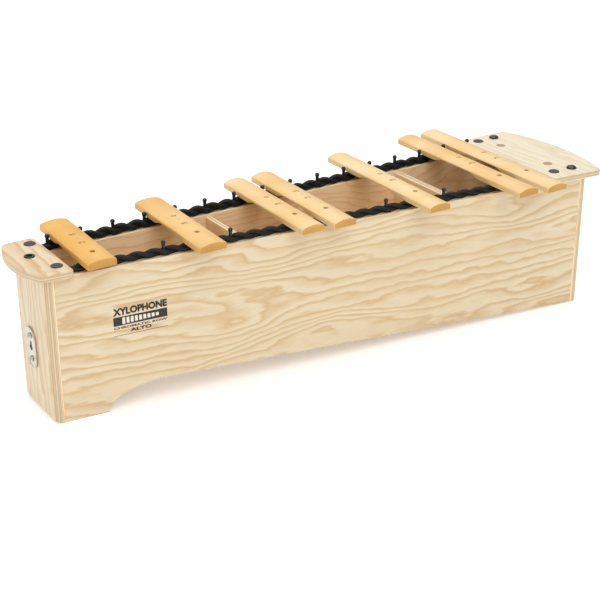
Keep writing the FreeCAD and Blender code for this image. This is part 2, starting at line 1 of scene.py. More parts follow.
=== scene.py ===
# %% [markdown]
# # A box xylophone, piece by piece
# The instrument is the chromatic half of a classroom xylophone: a tapered plywood box that resonates, a twisted
# cord along each long wall, pegs through the cords, and seven loose fibreglass bars.
# The measured frame comes in first. Every piece made below takes its place from it and never moves it.

import math

import bpy
from mathutils import Matrix, Vector


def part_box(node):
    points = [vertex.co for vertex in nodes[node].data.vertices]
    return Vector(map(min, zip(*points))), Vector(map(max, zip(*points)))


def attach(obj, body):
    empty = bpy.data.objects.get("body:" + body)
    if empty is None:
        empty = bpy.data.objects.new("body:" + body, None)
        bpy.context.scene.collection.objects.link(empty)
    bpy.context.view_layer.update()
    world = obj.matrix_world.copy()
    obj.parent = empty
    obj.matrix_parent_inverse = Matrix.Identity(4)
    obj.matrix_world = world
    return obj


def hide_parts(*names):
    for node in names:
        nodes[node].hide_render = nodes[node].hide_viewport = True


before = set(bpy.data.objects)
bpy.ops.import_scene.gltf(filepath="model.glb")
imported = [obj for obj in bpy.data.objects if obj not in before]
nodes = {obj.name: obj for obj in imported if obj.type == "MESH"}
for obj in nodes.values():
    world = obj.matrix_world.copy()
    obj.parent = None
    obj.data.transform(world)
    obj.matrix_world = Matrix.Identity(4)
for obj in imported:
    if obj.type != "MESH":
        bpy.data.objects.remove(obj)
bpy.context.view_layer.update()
MM = 0.001

# %% [markdown]
# ## The row of pegs and the taper
# A bar's place follows from the pegs. The back pegs stand on a straight line, one every 42 mm. The front wall
# leans away from that line by about 6.5 degrees, so the box is deepest where the bars are longest.

# %% Measures taken from the frame
PITCH = 42.0 * MM
BACK_PEG_COUNT = 16
FRONT_PEG_BAYS = (0, 2, 3, 4, 6, 7, 9, 10, 11, 13, 14)
BAR_BAYS = {
    "c_sharp_3": 0, "g_sharp_2": 3, "d_sharp_2": 6, "c_sharp_2": 7,
    "g_sharp_1": 10, "d_sharp_1": 13, "c_sharp_1": 14,
}

front_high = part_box("front_panel")[1]
back_low, back_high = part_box("back_panel")
BOX_LEFT, BOX_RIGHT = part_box("left_end_panel")[0].x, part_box("right_end_panel")[1].x
INNER_LEFT, INNER_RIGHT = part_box("left_end_panel")[1].x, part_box("right_end_panel")[0].x
RAIL_TOP = front_high.z
BACK_FACE = back_high.y
PANEL = back_high.y - back_low.y
TAPER = 0.1142
PANEL_ALONG_Y = PANEL * math.sqrt(1 + TAPER ** 2)
END_PANEL = INNER_LEFT - BOX_LEFT
FRONT_AT_LEFT = front_high.y - PANEL_ALONG_Y + TAPER * END_PANEL
BACK_PEG_HEAD = 2.6 * MM
FIRST_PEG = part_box("back_pegs")[0].x + BACK_PEG_HEAD
BACK_RAIL = sum(corner.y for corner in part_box("back_pegs")) / 2
RAIL_INSET = 8.5 * MM
CORD_AXIS = sum(corner.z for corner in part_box("back_cord")) / 2
TREBLE_LIFT, LIFT_FALL = 2.8 * MM, 0.1 * MM


def front_y(x, inset=0.0):
    """y of the tapering front face at x."""
    return FRONT_AT_LEFT - TAPER * (x - BOX_LEFT) + inset


def peg_x(place):
    return FIRST_PEG + place * PITCH


def front_peg_at(bay):
    x = peg_x(bay + 0.5)
    return x, front_y(x, RAIL_INSET)


def back_lift(x):
    """The back cord is fuller, so its crests are higher than the front one's, the more so at the treble end."""
    return TREBLE_LIFT - LIFT_FALL * (x - FIRST_PEG) / PITCH


def tilt_at(x, y):
    """How far a bar is raised at a point, because its back end lies on the higher cord."""
    front = front_y(x, RAIL_INSET)
    return back_lift(x) * (y - front) / (BACK_RAIL - front)


print("front face at the ends:", round(front_y(BOX_LEFT), 4), round(front_y(BOX_RIGHT), 4))

# %% [markdown]
# ## Working by hand, in code
# Blender's operators act on whatever is selected. So each step first empties the selection, and then picks
# what it means to change: a whole piece, or the faces and edges in some place. These few helpers do only that.

# %% Selecting and settling
EDIT = bpy.ops.mesh


def nothing():
    """Empty the selection."""
    bpy.ops.object.select_all(action="DESELECT")


def whole():
    """In edit mode: select the whole mesh."""
    EDIT.select_all(action="SELECT")


def only(piece):
    """Select one piece and nothing else."""
    nothing()
    piece.select_set(True)
    bpy.context.view_layer.objects.active = piece


def edit(piece, kind="VERT"):
    """Open one piece's mesh, with nothing in it selected."""
    only(piece)
    bpy.ops.object.mode_set(mode="EDIT")
    EDIT.select_mode(type=kind)
    EDIT.select_all(action="DESELECT")


def leave():
    bpy.ops.object.mode_set(mode="OBJECT")


def pick(piece, kind, chosen):
    """In edit mode: select just the vertices, edges or faces that a test chooses."""
    leave()
    mesh = piece.data
    for group in (mesh.vertices, mesh.edges, mesh.polygons):
        group.foreach_set("select", [False] * len(group))
    for item in {"VERT": mesh.vertices, "EDGE": mesh.edges, "FACE": mesh.polygons}[kind]:
        item.select = bool(chosen(item))
    bpy.ops.object.mode_set(mode="EDIT")
    EDIT.select_mode(type=kind)


def ends_of(piece, edge):
    return [piece.data.vertices[index].co for index in edge.vertices]


def named(piece, name):
    piece.name = piece.data.name = name
    return piece


def settle(piece, name):
    """Put the object's place and size into its mesh, and name it."""
    only(piece)
    bpy.ops.object.transform_apply(location=True, rotation=True, scale=True)
    return named(piece, name)


def apply_modifier(piece, kind, **settings):
    only(piece)
    modifier = piece.modifiers.new(kind.title(), kind)
    for setting, value in settings.items():
        setattr(modifier, setting, value)
    bpy.ops.object.modifier_apply(modifier=modifier.name)


def ease(piece, width, segments=3, angle=30):
    """Round every sharp edge a little and shade the result smoothly."""
    apply_modifier(piece, "BEVEL", width=width, segments=segments, limit_method="ANGLE",
                   angle_limit=math.radians(angle), use_clamp_overlap=False, harden_normals=False)
    smooth(piece, 35)


def smooth(piece, angle):
    """Smooth shading that stops at sharp edges, and leaves broad flat faces flat."""
    only(piece)
    bpy.ops.object.shade_smooth_by_angle(angle=math.radians(angle))
    apply_modifier(piece, "WEIGHTED_NORMAL", keep_sharp=True)


def face_out(piece):
    """Weld a piece and turn all its faces outwards."""
    edit(piece)
    whole()
    EDIT.remove_doubles(threshold=0.005 * MM)
    EDIT.normals_make_consistent(inside=False)
    leave()


def block(name, low, high):
    """A cube between two corners, with its place in its mesh."""
    nothing()
    bpy.ops.mesh.primitive_cube_add(size=1, location=(Vector(low) + Vector(high)) / 2)
    cube = bpy.context.object
    cube.scale = Vector(high) - Vector(low)
    return settle(cube, name)


def copied(piece, name, shift=(0, 0, 0)):
    """A copy with its own mesh, moved in the mesh."""
    twin = piece.copy()
    twin.data = piece.data.copy()
    bpy.context.collection.objects.link(twin)
    twin.data.transform(Matrix.Translation(Vector(shift)))
    return named(twin, name)


def joined(pieces, name):
    """Many pieces made one."""
    nothing()
    for piece in pieces:
        piece.select_set(True)
    bpy.context.view_layer.objects.active = pieces[0]
    if len(pieces) > 1:
        bpy.ops.object.join()
    return named(pieces[0], name)


def placed(piece, material, body="box", stands_for=()):
    """Give a finished piece its material and its place in the frame."""
    piece.data.materials.clear()
    piece.data.materials.append(material)
    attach(piece, body)
    if stands_for:
        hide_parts(*stands_for)
    return piece


# %% [markdown]
# ## Materials: one small helper
# A material here is a tree of nodes. One function adds a node with its settings and its inputs, whatever its
# kind. A colour is written as it looks on a screen, and one function turns it to the linear values that light
# needs.

# %% Node and colour helpers
def colour(code):
    """Linear RGBA of a screen colour such as '#E9D5B0'."""
    parts = [int(code[place:place + 2], 16) / 255 for place in (1, 3, 5)]
    linear = [part / 12.92 if part <= 0.04045 else ((part + 0.055) / 1.055) ** 2.4 for part in parts]
    return (*linear, 1.0)


def add(tree, kind, inputs=None, **settings):
    """One node: settings are its own fields, inputs are values or the sockets that feed it."""
    made = tree.nodes.new("ShaderNode" + kind)
    for field, value in settings.items():
        setattr(made, field, value)
    for key, value in (inputs or {}).items():
        if isinstance(value, bpy.types.NodeSocket):
            tree.links.new(value, made.inputs[key])
        else:
            made.inputs[key].default_value = value
    return made


def maths(tree, operation, *values):
    return add(tree, "Math", dict(enumerate(values)), operation=operation).outputs[0]


def ramp(tree, factor, stops):
    """Colours along a factor: stops are (place, colour)."""
    made = add(tree, "ValToRGB", {0: factor})
    elements = made.color_ramp.elements
    while len(elements) < len(stops):
        elements.new(0.5)
    for element, (place, shade) in zip(elements, stops):
        element.position = place
        element.color = colour(shade) if isinstance(shade, str) else (shade, shade, shade, 1)
    return made.outputs[0]


def mixed(tree, factor, first, second, blend="MIX"):
    made = add(tree, "Mix", {0: factor, 6: first, 7: second}, data_type="RGBA", blend_type=blend)
    return made.outputs[2]


def new_material(name):
    material = bpy.data.materials.new(name)
    material.use_nodes = True
    tree = material.node_tree
    return material, tree, tree.nodes["Principled BSDF"]


def into(tree, shader, **sockets):
    """Feed the shader: 'Base_Color' stands for the input 'Base Color'."""
    for key, value in sockets.items():
        socket = shader.inputs[key.replace("_", " ")]
        if isinstance(value, bpy.types.NodeSocket):
            tree.links.new(value, socket)
        else:
            socket.default_value = value


def bumped(tree, shader, height, distance, strength=1.0):
    relief = add(tree, "Bump", {"Height": height, "Distance": distance, "Strength": strength})
    tree.links.new(relief.outputs[0], shader.inputs["Normal"])


def drawn_out(tree, *scaled):
    """A place for a noise, stretched: each part is a number, or a (socket, scale) pair."""
    parts = [maths(tree, "MULTIPLY", *part) if isinstance(part, tuple) else part for part in scaled]
    return add(tree, "CombineXYZ", dict(enumerate(parts))).outputs[0]


def noise(tree, vector, scale, detail=2.0, roughness=0.5, distortion=0.0):
    made = add(tree, "TexNoise", {"Vector": vector, "Scale": scale, "Detail": detail,
                                  "Roughness": roughness, "Distortion": distortion})
    return made.outputs[0]


print("colour check:", [round(v, 3) for v in colour("#E9D5B0")])

# %% [markdown]
# ## Pine-faced plywood
# The box is plywood with a rotary-cut pine face: the veneer is peeled off the log, so the growth rings show as
# wide wandering bands with long islands, soft on one side and sharp on the other. Wherever an edge is cut or
# rounded, the inner plies show as thin stripes.
# A flat picture of wood could not do both. So the wood is built as a solid: each point asks how deep it lies under
# the face. Near a face it shows the veneer, and in between it shows the plies. Past the middle of the sheet the
# inner
# face takes warmer, paler tones: painted bounce light and shade of the inside of the box.

# %% The plywood material
FACE_VENEER = 1.5 * MM
PLY_PAIR = 4.2 * MM
GLUE = "#A88363"
RIPPLE, WOBBLE = 1.5, 0.45


def dot(tree, position, direction, offset=0.0):
    made = add(tree, "VectorMath", {0: position, 1: direction}, operation="DOT_PRODUCT").outputs["Value"]
    return maths(tree, "ADD", made, offset) if offset else made


def plywood(name, along, across, inward, face_at, thickness, seed, shades, painted_inside_shades=None,
            band=70.0, wander=10.0, gloss=0.42):
    """Plywood as a solid: along is the grain, across lies in the sheet, inward is the way into it."""
    material, tree, shader = new_material(name)
    place = add(tree, "TexCoord").outputs["Object"]
    a = dot(tree, place, along)
    b = dot(tree, place, across)
    depth = dot(tree, place, inward, -face_at)

    # the veneer: contour lines of a slow hill that is stretched along the grain
    hill = noise(tree, drawn_out(tree, (a, 3.1), (b, 13.0), seed), 1.0, 1.6, 0.45, 0.35)
    ripple = noise(tree, drawn_out(tree, (a, 16.0), (b, 60.0), seed + 3), 1.0)
    wobble = noise(tree, drawn_out(tree, (a, 42.0), (b, 90.0), seed + 5), 1.0, 1.0)
    rings = maths(tree, "MULTIPLY", b, band)
    for rise, share in ((hill, wander), (ripple, RIPPLE), (wobble, WOBBLE)):
        rings = maths(tree, "MULTIPLY_ADD", rise, share, rings)
    phase = maths(tree, "FRACT", rings)
    light, middle, dark = shades
    face = ramp(tree, phase, [(0.0, light), (0.26, light), (0.6, middle), (0.82, dark), (0.92, middle),
                              (1.0, light)])

    # slow changes of tone, and fibres as fine as the veneer shows at this size
    slow = noise(tree, drawn_out(tree, (a, 5.0), (b, 22.0), seed + 7), 1.0, 2.0, 0.55)
    fibre = noise(tree, drawn_out(tree, (a, 45.0), (b, 900.0), seed + 11), 1.0, 3.0, 0.6)
    face = mixed(tree, ramp(tree, slow, [(0.35, 0.0), (0.75, 0.55)]), face, colour(middle))
    fibre_tone = ramp(tree, fibre, [(0.25, 0.90), (0.75, 1.05)])
    face = mixed(tree, 1.0, face, fibre_tone, "MULTIPLY")

    # painted bounce light and shade: past the middle of the sheet, the inner face takes the warmer, paler inside
    # tones
    if painted_inside_shades:
        painted_inside_pale, painted_inside_middle, painted_inside_dark = painted_inside_shades
        inner = ramp(tree, phase, [(0.0, painted_inside_pale), (0.4, painted_inside_pale), (0.72, painted_inside_middle),
                                   (0.88, painted_inside_dark), (1.0, painted_inside_pale)])
        inner = mixed(tree, 1.0, inner, fibre_tone, "MULTIPLY")
        face = mixed(tree, maths(tree, "GREATER_THAN", depth, thickness / 2), face, inner)

    # the plies: end grain and long grain take turns, with a thin glue line between
    plies = maths(tree, "FRACT", maths(tree, "DIVIDE", depth, PLY_PAIR))
    grain = noise(tree, drawn_out(tree, (a, 120.0), (b, 120.0), (depth, 1500.0)), 1.0, 2.0, 0.6)
    layered = ramp(tree, plies, [(0.0, GLUE), (0.07, "#E3CFAB"), (0.43, "#E1CBA5"), (0.50, GLUE),
                                 (0.57, "#D3B894"), (0.93, "#D5BB97"), (1.0, GLUE)])
    layered = mixed(tree, 1.0, layered, ramp(tree, grain, [(0.2, 0.84), (0.8, 1.08)]), "MULTIPLY")

    low_side = maths(tree, "LESS_THAN", depth, FACE_VENEER)
    high_side = maths(tree, "GREATER_THAN", depth, thickness - FACE_VENEER)
    on_face = maths(tree, "MAXIMUM", low_side, high_side)
    wood = mixed(tree, on_face, layered, face)

    into(tree, shader, Base_Color=wood, Coat_Weight=0.18, Coat_Roughness=0.3,
         Roughness=maths(tree, "MULTIPLY_ADD", fibre, 0.16, gloss - 0.08))
    bumped(tree, shader, fibre, 0.05 * MM, 0.55)
    return material


PINE = ("#E7D5B5", "#DDC49B", "#D1B080")
# painted bounce light and shade: the warm pale tones given to the faces inside the box
INSIDE_BOUNCE_AND_SHADE = ("#FFE6BC", "#FFDCAC", "#F8C790")
slant = math.sqrt(1 + TAPER ** 2)
front_wood = plywood(
    "lacquered_pine_ply_front", (1 / slant, -TAPER / slant, 0), (0, 0, 1), (TAPER / slant, 1 / slant, 0),
    (front_y(0)) / slant, PANEL, 2.0, PINE, INSIDE_BOUNCE_AND_SHADE)
back_wood = plywood(
    "lacquered_pine_ply_back", (1, 0, 0), (0, 0, 1), (0, -1, 0), -BACK_FACE, PANEL, 31.0, PINE, INSIDE_BOUNCE_AND_SHADE)
left_wood = plywood(
    "lacquered_pine_ply_treble_end", (0, 0, 1), (0, 1, 0), (1, 0, 0), BOX_LEFT, END_PANEL, 57.0, PINE, INSIDE_BOUNCE_AND_SHADE,
    band=70.0, wander=6.0)
right_wood = plywood(
    "lacquered_pine_ply_bass_end", (0, 0, 1), (0, 1, 0), (-1, 0, 0), -BOX_RIGHT, END_PANEL, 73.0, PINE, INSIDE_BOUNCE_AND_SHADE,
    band=45.0, wander=6.0)
CAP_LOW, CAP_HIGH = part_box("left_cap")
CAP = CAP_HIGH.z - CAP_LOW.z
left_cap_wood = plywood(
    "lacquered_ply_treble_cap", (0, 1, 0), (1, 0, 0), (0, 0, -1), -CAP_HIGH.z, CAP, 91.0,
    ("#E6D2AE", "#DBBF95", "#CBA470"), band=80.0, wander=5.0)
right_cap_wood = plywood(
    "lacquered_ply_bass_cap", (0, 1, 0), (1, 0, 0), (0, 0, -1), -CAP_HIGH.z, CAP, 117.0,
    ("#EFE3CB", "#EBDCC0", "#E3CFAA"), band=50.0, wander=5.0)
inner_wood = plywood(
    "bare_ply_inside", (1, 0, 0), (0, 1, 0), (0, 0, 1), -0.05, 0.4, 133.0, ("#EBBB84", "#DFAA72", "#CF955C"),
    band=40.0, wander=4.0, gloss=0.6)
print("woods:", len([m for m in bpy.data.materials if "ply" in m.name]))

# %% [markdown]
# ## The long panels
# A long panel is a sheet sawn to an arch along its lower edge, so that the box stands on its ends. It could be
# traced as an outline and extruded. Here it is worked from a block, as at a bench: the foot is drawn down, the inner
# corner is rounded, and the lower edge is sloped. The rounding is a quarter of an ellipse, so the block is
# squeezed lengthwise while the corner is rounded and let out again.

# %% Front and back panel
FOOT_END = -312.4 * MM
ARCH_RUN = 77.0 * MM
ARCH_RISE = 29.5 * MM
ARCH_END_RISE = 0.6 * MM


def long_panel(name, outer_low):
    """A panel whose sheet lies along x; outer_low says that its outer face is the one at low y."""
    depth = (0.0, PANEL_ALONG_Y) if outer_low else (-PANEL, 0.0)
    panel = block(name, (INNER_LEFT, depth[0], ARCH_RISE), (INNER_RIGHT, depth[1], RAIL_TOP))
    edit(panel)
    whole()
    EDIT.bisect(plane_co=(FOOT_END, 0, 0), plane_no=(1, 0, 0))
    pick(panel, "FACE", lambda f: f.normal.z < -0.9 and f.center.x < FOOT_END)
    EDIT.extrude_region_move(TRANSFORM_OT_translate={"value": (0, 0, -ARCH_RISE)})
    pick(panel, "EDGE", lambda e: all(abs(v.x - FOOT_END) < 1e-6 and abs(v.z - ARCH_RISE) < 1e-6
                                      for v in ends_of(panel, e)))
    leave()
    squeeze = ARCH_RISE / ARCH_RUN
    for vertex in panel.data.vertices:
        vertex.co.x = FOOT_END + (vertex.co.x - FOOT_END) * squeeze
    bpy.ops.object.mode_set(mode="EDIT")
    EDIT.bevel(offset=ARCH_RISE * 0.985, segments=22, affect="EDGES")
    leave()
    for vertex in panel.data.vertices:
        vertex.co.x = FOOT_END + (vertex.co.x - FOOT_END) / squeeze
    fall = (ARCH_RISE - ARCH_END_RISE) / (BOX_RIGHT - FOOT_END - ARCH_RUN)
    for vertex in panel.data.vertices:
        beyond = vertex.co.x - FOOT_END - ARCH_RUN
        if beyond > 0 and vertex.co.z < ARCH_RISE + 1e-5:
            vertex.co.z -= beyond * fall
    edit(panel)
    whole()
    EDIT.dissolve_limited(angle_limit=math.radians(0.5))
    leave()
    ease(panel, 0.6 * MM)
    return panel


front_panel = long_panel("front_panel_board", outer_low=True)
for vertex in front_panel.data.vertices:
    vertex.co.y += front_y(vertex.co.x)
back_panel = long_panel("back_panel_board", outer_low=False)
back_panel.data.transform(Matrix.Translation((0, BACK_FACE, 0)))
placed(front_panel, front_wood, stands_for=["front_panel"])
placed(back_panel, back_wood, stands_for=["back_panel"])
print("front panel faces:", len(front_panel.data.polygons))

# %% [markdown]
# ## Turned parts
# Pegs, buttons, plugs and screws are all round. On the bench they come off a lathe or out of a round mould. The
# code does the same: half of the outline is drawn as a chain of points, and the chain is spun once round its axis.
# One function is enough for all of them.

# %% A helper that turns a profile
def turned(name, profile, centre=(0, 0), steps=28):
    """Spin a chain of (radius, height) points round an upright axis; the first and last radius are 0."""
    nothing()
    bpy.ops.mesh.primitive_plane_add(size=0.001, location=(0, 0, 0))
    part = bpy.context.object
    edit(part)
    pick(part, "VERT", lambda v: v.index != 0)
    EDIT.delete(type="VERT")
    leave()
    part.data.vertices[0].co = (profile[0][0], 0, profile[0][1])
    edit(part)
    whole()
    for (last_r, last_z), (radius, height) in zip(profile, profile[1:]):
        EDIT.extrude_region_move(TRANSFORM_OT_translate={"value": (radius - last_r, 0, height - last_z)})
    whole()
    EDIT.spin(steps=steps, angle=2 * math.pi, center=(0, 0, 0), axis=(0, 0, 1))
    whole()
    EDIT.remove_doubles(threshold=0.002 * MM)
    EDIT.dissolve_degenerate(threshold=0.001 * MM)
    whole()
    EDIT.normals_make_consistent(inside=False)
    leave()
    part.data.transform(Matrix.Translation((centre[0], centre[1], 0)))
    smooth(part, 40)
    return named(part, name)


def arc(centre_r, centre_z, radius, start, stop, count=6):
    """Points along an arc, angles in degrees from the +radius direction."""
    turns = [math.radians(start + (stop - start) * step / count) for step in range(count + 1)]
    return [(centre_r + radius * math.cos(turn), centre_z + radius * math.sin(turn)) for turn in turns]


def carve(piece, cutters):
    """Cut the cutters out of a piece, and throw the cutters away."""
    for cutter in cutters:
        apply_modifier(piece, "BOOLEAN", object=cutter, operation="DIFFERENCE", solver="EXACT")
        bpy.data.objects.remove(cutter)
    smooth(piece, 35)


def rod(name, radius, low, high, centre, sides=40):
    nothing()
    bpy.ops.mesh.primitive_cylinder_add(vertices=sides, radius=radius, depth=high - low,
                                        location=(centre[0], centre[1], (low + high) / 2))
    return settle(bpy.context.object, name)


# %% [markdown]
# ## The ends and the two partitions
# The end boards lap the ends of the long panels, so their plies show as upright stripes beside the front face. Their
# two upright corners are well rounded. Two thin partitions stand inside and part the air under the bars. Each board
# is a block whose front edge leans with the taper, and the small easing leaves the thin seam of a glued joint.

# %% Boards across the box
UPRIGHT_ROUND = 8.0 * MM
BOARD_EDGE = 0.5 * MM


def cross_board(name, like, back, inset, outer=None):
    """A board across the box, moved in by an inset at the front; outer is the x of its rounded corners."""
    low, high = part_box(like)
    board = block(name, (low.x, 0, low.z), (high.x, back, high.z))
    for vertex in board.data.vertices:
        if vertex.co.y < 1e-6:
            vertex.co.y = front_y(vertex.co.x, inset)
    if outer is not None:
        edit(board)
        pick(board, "EDGE", lambda e: all(abs(v.x - outer) < 1e-6 for v in ends_of(board, e))
             and abs(ends_of(board, e)[0].y - ends_of(board, e)[1].y) < 1e-6)
        EDIT.bevel(offset=UPRIGHT_ROUND, segments=9, affect="EDGES")
        leave()
    ease(board, BOARD_EDGE)
    return board


left_end = cross_board("treble_end_board", "left_end_panel", BACK_FACE, 0.0, BOX_LEFT)
plate_low, plate_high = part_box("hanger_plate")
PLATE_Y, PLATE_Z = (plate_low.y + plate_high.y) / 2, (plate_low.z + plate_high.z) / 2
pocket = turned("pocket", [(0, -5 * MM), (5 * MM, -5 * MM), (5 * MM, 9 * MM), (0, 9 * MM)])
pocket.data.transform(Matrix.Translation((BOX_LEFT, PLATE_Y, PLATE_Z)) @ Matrix.Rotation(math.radians(90), 4, "Y"))
carve(left_end, [pocket])
placed(left_end, left_wood, stands_for=["left_end_panel"])
right_end = cross_board("bass_end_board", "right_end_panel", BACK_FACE, 0.0, BOX_RIGHT)
placed(right_end, right_wood, stands_for=["right_end_panel"])

# the partitions' faces take the inside tones, painted shade and bounce light, while their cut edges show the plies
for like, wood_name, thick, seed in (("treble_divider", "ply_thin_partition_painted_shade", 6.5 * MM, 163.0),
                                     ("bass_divider", "ply_partition_painted_shade", 10 * MM, 151.0)):
    wood = plywood(wood_name, (0, 1, 0), (0, 0, 1), (1, 0, 0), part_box(like)[0].x, thick, seed, INSIDE_BOUNCE_AND_SHADE,
                   band=30.0, wander=4.0, gloss=0.55)
    board = cross_board(like + "_board", like, BACK_FACE - PANEL, PANEL_ALONG_Y)
    placed(board, wood, stands_for=[like])
for name in ("bottom_board", "front_cleat", "back_cleat", "corner_blocks"):
    nodes[name].data.materials.clear()
    nodes[name].data.materials.append(inner_wood)
print("boards between the panels: 4")

# %% [markdown]
# ## The end caps
# A plywood cap closes each end of the row. It hangs over the front a little, and its outer edge is a shallow arc.
# The block gets a row of cross cuts, the outer ends of the cuts are pushed out to the arc, then the corners are
# rounded, and the top and bottom edges softened. The seats for buttons and plugs are bored last.

# %% Caps with their bored seats
CAP_OVERHANG = 9.0 * MM
CAP_BACK = CAP_HIGH.y
CAP_CORNER = 5.0 * MM
ARC_CUTS, CUT_MARGIN = 24, 7.5 * MM
SEAT_FLOOR = CAP_HIGH.z - 4.0 * MM
LEFT_DISCS = ((-356.5, 79.0), (-357.0, 2.5))
RIGHT_DISCS = ((318.8, 79.0), (319.4, -74.0))
PLUGS = ((333.1, 47.9), (334.7, -45.5))
DOMES = ((347.4, 79.0), (348.4, -76.5))
RING = (-371.5, 44.5)


def end_cap(name, inner, outer, radius, bores):
    side = 1 if outer > inner else -1
    low_x, high_x = min(inner, outer), max(inner, outer)
    cap = block(name, (low_x, 0, CAP_LOW.z), (high_x, CAP_BACK, CAP_HIGH.z))
    for vertex in cap.data.vertices:
        if vertex.co.y < 1e-6:
            vertex.co.y = front_y(vertex.co.x, -CAP_OVERHANG)
    front = front_y(outer, -CAP_OVERHANG)
    middle, half = (front + CAP_BACK) / 2, (CAP_BACK - front) / 2
    edit(cap)
    for cut in range(ARC_CUTS + 1):
        whole()
        y = middle + (half - CUT_MARGIN) * (2 * cut / ARC_CUTS - 1)
        EDIT.bisect(plane_co=(0, y, 0), plane_no=(0, 1, 0))
    leave()
    for vertex in cap.data.vertices:
        if abs(vertex.co.x - outer) < 1e-6:
            reach = math.sqrt(max(radius ** 2 - (vertex.co.y - middle) ** 2, 0))
            reach -= math.sqrt(radius ** 2 - half ** 2)
            vertex.co.x += side * max(reach, 0)

    def upright_corner(e):
        one, two = ends_of(cap, e)
        return (abs(one.x - two.x) < 1e-6 and abs(one.y - two.y) < 1e-6
                and any(abs(one.x - x) < 1e-5 for x in (inner, outer))
                and (abs(one.y - CAP_BACK) < 1e-5 or abs(one.y - front_y(one.x, -CAP_OVERHANG)) < 1e-5))

    edit(cap, "EDGE")
    pick(cap, "EDGE", upright_corner)
    EDIT.bevel(offset=CAP_CORNER, segments=8, affect="EDGES")
    whole()
    EDIT.dissolve_limited(angle_limit=math.radians(0.2))
    leave()
    for level, rounding, segments in ((CAP_HIGH.z, 2.0 * MM, 5), (CAP_LOW.z, 1.4 * MM, 4)):
        pick(cap, "EDGE", lambda e: all(abs(v.z - level) < 1e-6 for v in ends_of(cap, e))
             and sum(1 for f in cap.data.polygons if e.key in f.edge_keys and abs(f.normal.z) < 0.5) == 1)
        EDIT.bevel(offset=rounding, segments=segments, affect="EDGES")
        leave()
    smooth(cap, 35)
    carve(cap, [rod("bore", width / 2, SEAT_FLOOR, CAP_HIGH.z + 2 * MM, (x * MM, y * MM))
                for width, places in bores for x, y in places])
    return cap


left_cap = end_cap("treble_cap_board", -344.8 * MM, -384.0 * MM, 124.3 * MM,
                   ((14.3 * MM, LEFT_DISCS), (13.0 * MM, (RING,))))
placed(left_cap, left_cap_wood, stands_for=["left_cap"])
right_cap = end_cap("bass_cap_board", 303.2 * MM, 379.0 * MM, 270.0 * MM,
                    ((14.3 * MM, RIGHT_DISCS), (12.7 * MM, PLUGS), (13.8 * MM, DOMES)))
placed(right_cap, right_cap_wood, stands_for=["right_cap"])
print("cap faces:", len(left_cap.data.polygons), len(right_cap.data.polygons))

# %% [markdown]
# ## Plain materials for the fittings
# Rubber, moulded plastic, turned wood and plated steel make up the fittings. None of them is one flat colour:
# colour and gloss drift gently between two shades, and the rubber and the plugs carry a fine bump.

# %% Rubber, plastic, wood plugs, metals
def plain(name, low, high, gloss, scale, metal=0.0, coat=0.0, relief=0.0, spread=0.08):
    """A material whose colour and gloss drift gently between two shades."""
    material, tree, shader = new_material(name)
    place = add(tree, "TexCoord").outputs["Object"]
    drift = noise(tree, place, scale, 3.0, 0.6)
    into(tree, shader, Base_Color=ramp(tree, drift, [(0.3, low), (0.7, high)]), Metallic=metal,
         Coat_Weight=coat, Coat_Roughness=0.12,
         Roughness=maths(tree, "MULTIPLY_ADD", drift, 2 * spread, gloss - spread))
    if relief:
        bumped(tree, shader, noise(tree, place, scale * 4, 2.0, 0.5), relief)
    return material


rubber = plain("moulded_rubber_button", "#2E2B31", "#4A464E", 0.5, 260.0, relief=0.04 * MM)
dome_plastic = plain("glossy_black_plastic_dome", "#0E0D0F", "#1A181B", 0.2, 200.0, coat=0.5)
ring_plastic = plain("black_plastic_bush", "#121114", "#242126", 0.4, 240.0)
peg_plastic = plain("moulded_nylon_peg", "#100F13", "#1E1A22", 0.38, 300.0)
plug_wood = plain("stained_beech_plug", "#AC8064", "#C49878", 0.5, 420.0, relief=0.05 * MM)
nickel = plain("nickel_plated_steel", "#B9B2A6", "#D4CEC4", 0.3, 180.0, metal=1.0)
zinc = plain("zinc_plated_screw", "#A9A59C", "#D5D0C6", 0.3, 300.0, metal=1.0)
print("fitting materials: 7")

# %% [markdown]
# ## Buttons, plugs and domes on the caps
# The flat rubber buttons grip the neighbouring row of the instrument. The glossy domes locate a second box. The
# pale discs are wood plugs over screws. All are turned from short profiles: a shallow dished top for the buttons,
# a rounded crown for the domes.

# %% Cap fittings
TOP = CAP_HIGH.z
BASE = SEAT_FLOOR + 0.02 * MM
ROUND_STEPS = 36


def at(spot):
    return spot[0] * MM, spot[1] * MM


def button(name, centre):
    rim = 7.0 * MM
    profile = [(0, BASE), (rim, BASE), *arc(rim - 0.7 * MM, TOP + 0.3 * MM, 0.7 * MM, 0, 90, 5),
               (rim - 1.6 * MM, TOP + 0.98 * MM), (rim - 2.3 * MM, TOP + 0.62 * MM), (0, TOP + 0.55 * MM)]
    return turned(name, profile, centre, ROUND_STEPS)


def dome(name, centre):
    wide, tall = 6.75 * MM, 4.0 * MM
    crown = [(wide * math.cos(t), TOP + 0.6 * MM + (tall - 0.6 * MM) * math.sin(t))
             for t in [math.pi / 2 * step / 10 for step in range(10)]]
    return turned(name, [(0, BASE), (wide, BASE), *crown, (0, TOP + tall)], centre, ROUND_STEPS)


def wood_plug(name, centre):
    wide = 6.25 * MM
    return turned(name, [(0, BASE), (wide, BASE), (wide, TOP), (wide - 0.4 * MM, TOP + 0.15 * MM),
                         (0, TOP + 0.2 * MM)], centre, ROUND_STEPS)


